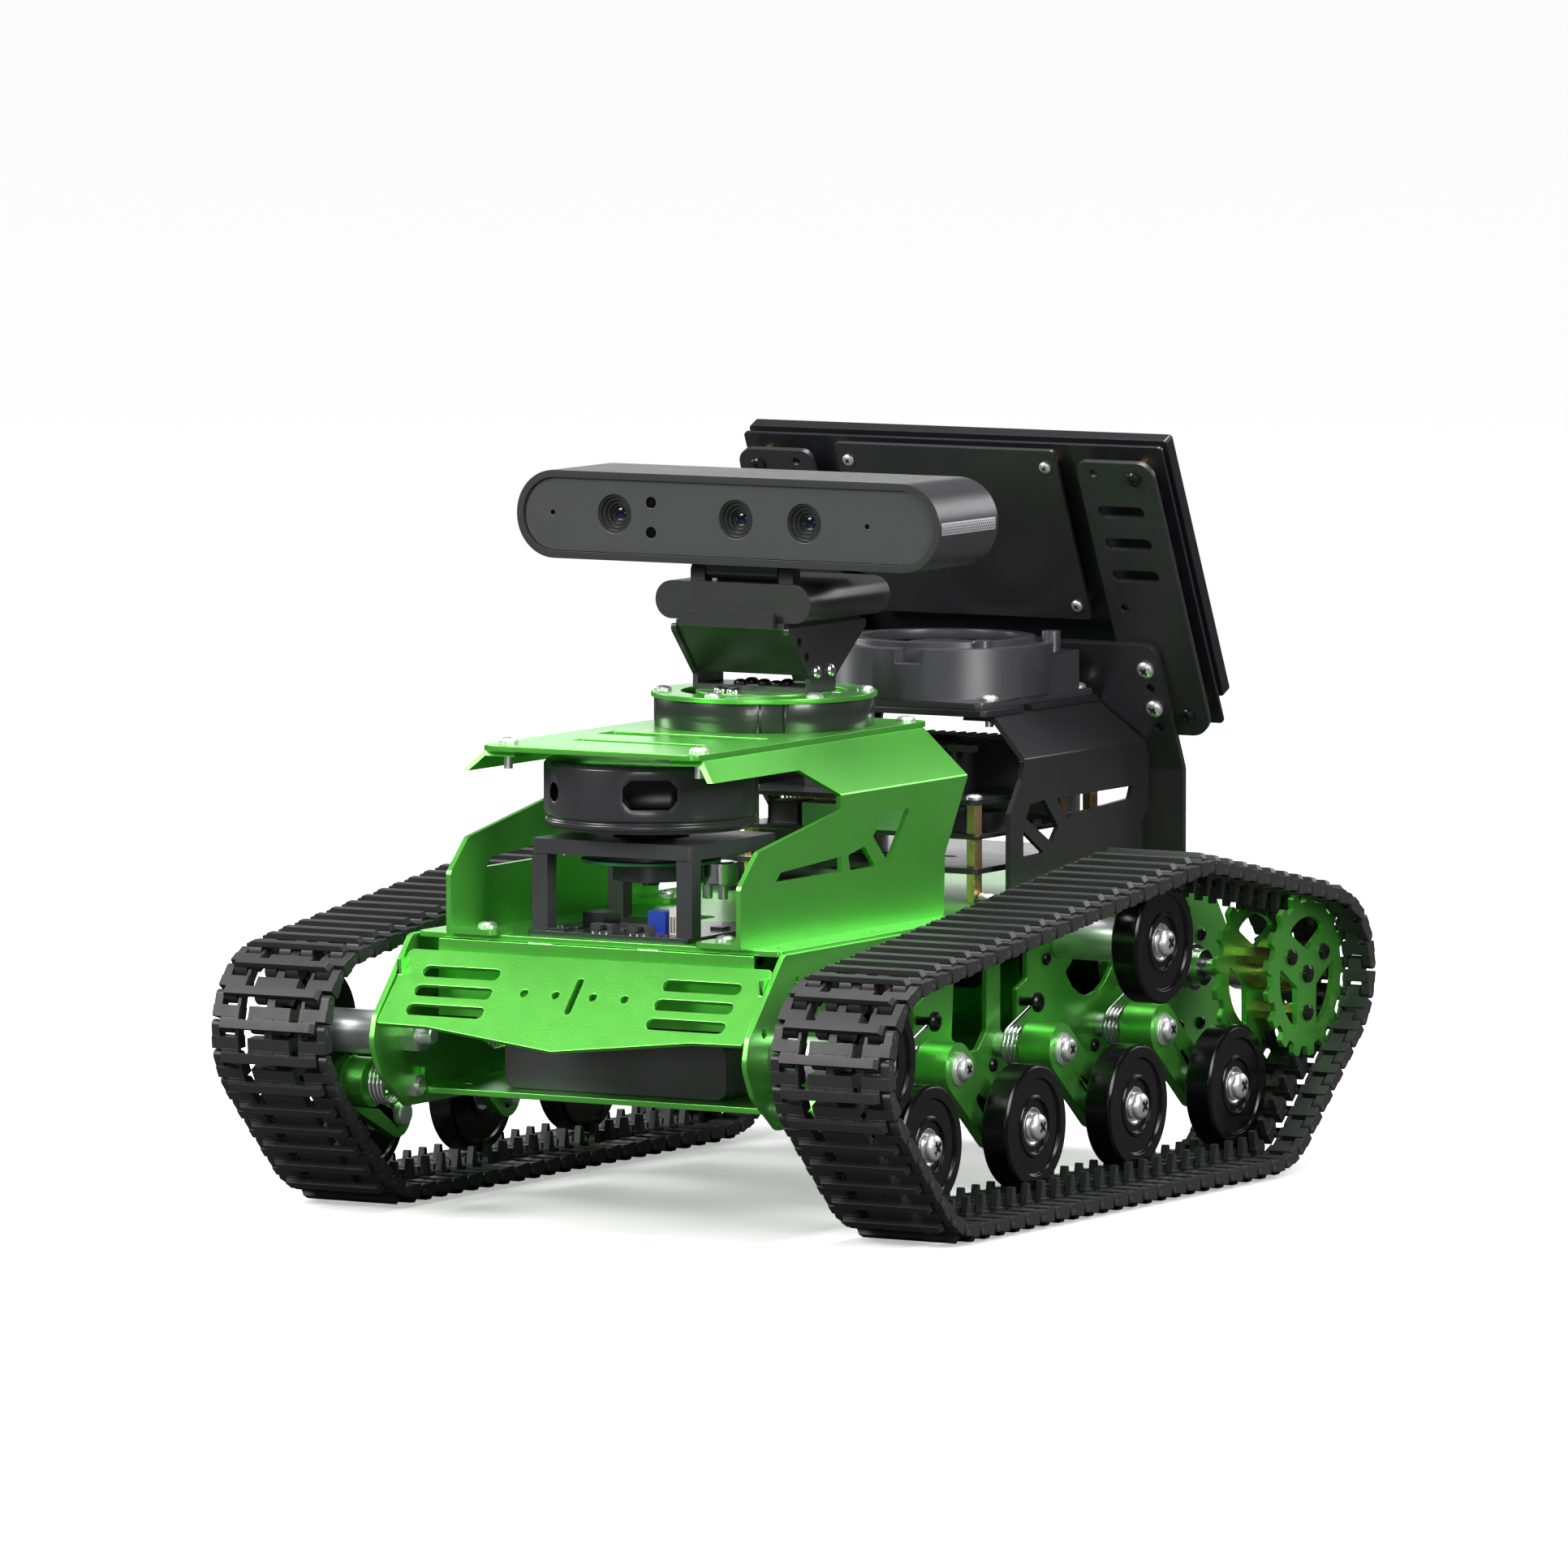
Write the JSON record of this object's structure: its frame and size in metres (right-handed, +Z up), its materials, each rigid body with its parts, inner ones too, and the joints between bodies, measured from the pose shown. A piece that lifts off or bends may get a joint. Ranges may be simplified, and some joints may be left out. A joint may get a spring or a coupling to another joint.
{
  "type": "tracked tank chassis",
  "caption": "Tracked robot tank chassis with sprung road wheels, toothed sprockets, lidar under a folded canopy, pan and tilt depth camera, blower and rear display.",
  "frame": {"origin": "middle of the overall box, on the ground under the tracks", "axes": "+Z up, -Y is the robot's front, +X is its side with the hub bolts seen first, length along Y"},
  "size_m": [0.2616, 0.3474, 0.2539],
  "materials": {
    "green_anodised": "fine bead-blasted green anodise",
    "wheel_plastic": "moulded, satin gloss",
    "track_plastic": "moulded, matt",
    "battery_case": "satin",
    "steel": "polished",
    "sleeve_aluminium": "turned",
    "circuit_board": "solder mask",
    "dark_plastic": "satin",
    "black_anodised": "fine bead-blasted black",
    "camera_shell": "satin anodised",
    "camera_face": "satin",
    "lens_glass": "coated glass",
    "brass": "turned",
    "display_black": "black glass and plastic",
    "black_screw": "black oxide"
  },
  "bodies": {
    "chassis": {"axle_bolts": "steel", "battery_pack": "battery_case", "black_screws": "black_screw", "blower_housing": "dark_plastic", "bottom_tray": "green_anodised", "brass_standoffs": "brass", "canopy_side_panels": "green_anodised", "canopy_top_plates": "green_anodised", "computer_stack": "circuit_board", "control_board": "circuit_board", "display_module": "display_black", "display_plates": "black_anodised", "display_support": "black_anodised", "front_plate": "green_anodised", "gear_motors": "steel", "heat_sink": "black_anodised", "idler_sleeves": "sleeve_aluminium", "lidar_stand": "dark_plastic", "rear_side_panels": "black_anodised", "rear_top_plate": "black_anodised", "side_plates": "green_anodised", "silver_screws": "steel", "top_deck": "green_anodised", "torsion_springs": "steel", "track_left": "track_plastic", "track_pins": "steel", "track_right": "track_plastic", "turntable_housing": "dark_plastic"},
    "sprocket_right": {"sprocket_right": "green_anodised"},
    "front_idler_right": {"front_idler_right": "wheel_plastic"},
    "top_idler_right": {"top_idler_right": "wheel_plastic"},
    "arm_right_1": {"arm_right_1": "green_anodised"},
    "road_wheel_right_1": {"road_wheel_right_1": "wheel_plastic"},
    "arm_right_2": {"arm_right_2": "green_anodised"},
    "road_wheel_right_2": {"road_wheel_right_2": "wheel_plastic"},
    "arm_right_3": {"arm_right_3": "green_anodised"},
    "road_wheel_right_3": {"road_wheel_right_3": "wheel_plastic"},
    "arm_right_4": {"arm_right_4": "green_anodised"},
    "road_wheel_right_4": {"road_wheel_right_4": "wheel_plastic"},
    "sprocket_left": {"sprocket_left": "green_anodised"},
    "front_idler_left": {"front_idler_left": "wheel_plastic"},
    "top_idler_left": {"top_idler_left": "wheel_plastic"},
    "arm_left_1": {"arm_left_1": "green_anodised"},
    "road_wheel_left_1": {"road_wheel_left_1": "wheel_plastic"},
    "arm_left_2": {"arm_left_2": "green_anodised"},
    "road_wheel_left_2": {"road_wheel_left_2": "wheel_plastic"},
    "arm_left_3": {"arm_left_3": "green_anodised"},
    "road_wheel_left_3": {"road_wheel_left_3": "wheel_plastic"},
    "arm_left_4": {"arm_left_4": "green_anodised"},
    "road_wheel_left_4": {"road_wheel_left_4": "wheel_plastic"},
    "lidar_head": {"lidar_head": "dark_plastic"},
    "camera_pan": {"camera_turntable": "green_anodised", "camera_bracket": "black_anodised", "camera_base": "camera_shell"},
    "camera_head": {"camera_bar": "camera_shell", "camera_front_panel": "camera_face", "camera_lenses": "lens_glass"},
    "blower_rotor": {"blower_rotor": "dark_plastic"},
    "power_switch_lever": {"power_switch_lever": "dark_plastic"},
    "mode_switch_lever": {"mode_switch_lever": "dark_plastic"}
  },
  "joints": [
    {"name": "sprocket_right_spin", "type": "hinge", "parent": "chassis", "child": "sprocket_right", "pos_m": [0.1084, 0.1412, 0.0665], "axis": [1, 0, 0], "continuous": true},
    {"name": "front_idler_right_spin", "type": "hinge", "parent": "chassis", "child": "front_idler_right", "pos_m": [0.1084, -0.1424, 0.0618], "axis": [1, 0, 0], "continuous": true},
    {"name": "top_idler_right_spin", "type": "hinge", "parent": "chassis", "child": "top_idler_right", "pos_m": [0.1084, 0.0499, 0.085], "axis": [1, 0, 0], "continuous": true},
    {"name": "arm_right_1_swing", "type": "hinge", "parent": "chassis", "child": "arm_right_1", "pos_m": [0.0955, -0.1403, 0.0445], "axis": [1, 0, 0], "range_deg": [0, 5], "stiffness_Nm_per_rad": 0.8, "springref_deg": -14.32},
    {"name": "road_wheel_right_1_spin", "type": "hinge", "parent": "arm_right_1", "child": "road_wheel_right_1", "pos_m": [0.1084, -0.1113, 0.0309], "axis": [1, 0, 0], "continuous": true},
    {"name": "arm_right_2_swing", "type": "hinge", "parent": "chassis", "child": "arm_right_2", "pos_m": [0.0955, -0.0653, 0.052], "axis": [1, 0, 0], "range_deg": [0, 12], "stiffness_Nm_per_rad": 0.8, "springref_deg": -14.32},
    {"name": "road_wheel_right_2_spin", "type": "hinge", "parent": "arm_right_2", "child": "road_wheel_right_2", "pos_m": [0.1084, -0.0399, 0.0309], "axis": [1, 0, 0], "continuous": true},
    {"name": "arm_right_3_swing", "type": "hinge", "parent": "chassis", "child": "arm_right_3", "pos_m": [0.0955, 0.0061, 0.052], "axis": [1, 0, 0], "range_deg": [0, 12], "stiffness_Nm_per_rad": 0.8, "springref_deg": -14.32},
    {"name": "road_wheel_right_3_spin", "type": "hinge", "parent": "arm_right_3", "child": "road_wheel_right_3", "pos_m": [0.1084, 0.0315, 0.0309], "axis": [1, 0, 0], "continuous": true},
    {"name": "arm_right_4_swing", "type": "hinge", "parent": "chassis", "child": "arm_right_4", "pos_m": [0.0955, 0.0775, 0.052], "axis": [1, 0, 0], "range_deg": [0, 12], "stiffness_Nm_per_rad": 0.8, "springref_deg": -14.32},
    {"name": "road_wheel_right_4_spin", "type": "hinge", "parent": "arm_right_4", "child": "road_wheel_right_4", "pos_m": [0.1084, 0.1029, 0.0309], "axis": [1, 0, 0], "continuous": true},
    {"name": "sprocket_left_spin", "type": "hinge", "parent": "chassis", "child": "sprocket_left", "pos_m": [-0.1084, 0.1412, 0.0665], "axis": [1, 0, 0], "continuous": true},
    {"name": "front_idler_left_spin", "type": "hinge", "parent": "chassis", "child": "front_idler_left", "pos_m": [-0.1084, -0.1424, 0.0618], "axis": [1, 0, 0], "continuous": true},
    {"name": "top_idler_left_spin", "type": "hinge", "parent": "chassis", "child": "top_idler_left", "pos_m": [-0.1084, 0.0499, 0.085], "axis": [1, 0, 0], "continuous": true},
    {"name": "arm_left_1_swing", "type": "hinge", "parent": "chassis", "child": "arm_left_1", "pos_m": [-0.0955, -0.1403, 0.0445], "axis": [1, 0, 0], "range_deg": [0, 5], "stiffness_Nm_per_rad": 0.8, "springref_deg": -14.32},
    {"name": "road_wheel_left_1_spin", "type": "hinge", "parent": "arm_left_1", "child": "road_wheel_left_1", "pos_m": [-0.1084, -0.1113, 0.0309], "axis": [1, 0, 0], "continuous": true},
    {"name": "arm_left_2_swing", "type": "hinge", "parent": "chassis", "child": "arm_left_2", "pos_m": [-0.0955, -0.0653, 0.052], "axis": [1, 0, 0], "range_deg": [0, 12], "stiffness_Nm_per_rad": 0.8, "springref_deg": -14.32},
    {"name": "road_wheel_left_2_spin", "type": "hinge", "parent": "arm_left_2", "child": "road_wheel_left_2", "pos_m": [-0.1084, -0.0399, 0.0309], "axis": [1, 0, 0], "continuous": true},
    {"name": "arm_left_3_swing", "type": "hinge", "parent": "chassis", "child": "arm_left_3", "pos_m": [-0.0955, 0.0061, 0.052], "axis": [1, 0, 0], "range_deg": [0, 12], "stiffness_Nm_per_rad": 0.8, "springref_deg": -14.32},
    {"name": "road_wheel_left_3_spin", "type": "hinge", "parent": "arm_left_3", "child": "road_wheel_left_3", "pos_m": [-0.1084, 0.0315, 0.0309], "axis": [1, 0, 0], "continuous": true},
    {"name": "arm_left_4_swing", "type": "hinge", "parent": "chassis", "child": "arm_left_4", "pos_m": [-0.0955, 0.0775, 0.052], "axis": [1, 0, 0], "range_deg": [0, 12], "stiffness_Nm_per_rad": 0.8, "springref_deg": -14.32},
    {"name": "road_wheel_left_4_spin", "type": "hinge", "parent": "arm_left_4", "child": "road_wheel_left_4", "pos_m": [-0.1084, 0.1029, 0.0309], "axis": [1, 0, 0], "continuous": true},
    {"name": "lidar_spin", "type": "hinge", "parent": "chassis", "child": "lidar_head", "pos_m": [0, -0.102, 0.14], "axis": [0, 0, 1], "continuous": true},
    {"name": "camera_pan_turn", "type": "hinge", "parent": "chassis", "child": "camera_pan", "pos_m": [0, -0.0266, 0.172], "axis": [0, 0, 1], "range_deg": [-120, 120]},
    {"name": "camera_tilt", "type": "hinge", "parent": "camera_pan", "child": "camera_head", "pos_m": [0, -0.0393, 0.213], "axis": [1, 0, 0], "range_deg": [-10, 20]},
    {"name": "blower_spin", "type": "hinge", "parent": "chassis", "child": "blower_rotor", "pos_m": [0.003, 0.0908, 0.17], "axis": [0, 0, 1], "continuous": true},
    {"name": "power_switch_lever_slide", "type": "slide", "parent": "chassis", "child": "power_switch_lever", "axis": [1, 0, 0], "range_m": [0, 0.002]},
    {"name": "mode_switch_lever_slide", "type": "slide", "parent": "chassis", "child": "mode_switch_lever", "axis": [1, 0, 0], "range_m": [0, 0.002]}
  ],
  "couplings": [
    {"joint": "front_idler_right_spin", "follows": "sprocket_right_spin", "ratio": 1.0347},
    {"joint": "top_idler_right_spin", "follows": "sprocket_right_spin", "ratio": 1.3156},
    {"joint": "road_wheel_right_1_spin", "follows": "sprocket_right_spin", "ratio": 1.3156},
    {"joint": "road_wheel_right_2_spin", "follows": "sprocket_right_spin", "ratio": 1.3156},
    {"joint": "road_wheel_right_3_spin", "follows": "sprocket_right_spin", "ratio": 1.3156},
    {"joint": "road_wheel_right_4_spin", "follows": "sprocket_right_spin", "ratio": 1.3156},
    {"joint": "front_idler_left_spin", "follows": "sprocket_left_spin", "ratio": 1.0347},
    {"joint": "top_idler_left_spin", "follows": "sprocket_left_spin", "ratio": 1.3156},
    {"joint": "road_wheel_left_1_spin", "follows": "sprocket_left_spin", "ratio": 1.3156},
    {"joint": "road_wheel_left_2_spin", "follows": "sprocket_left_spin", "ratio": 1.3156},
    {"joint": "road_wheel_left_3_spin", "follows": "sprocket_left_spin", "ratio": 1.3156},
    {"joint": "road_wheel_left_4_spin", "follows": "sprocket_left_spin", "ratio": 1.3156}
  ]
}
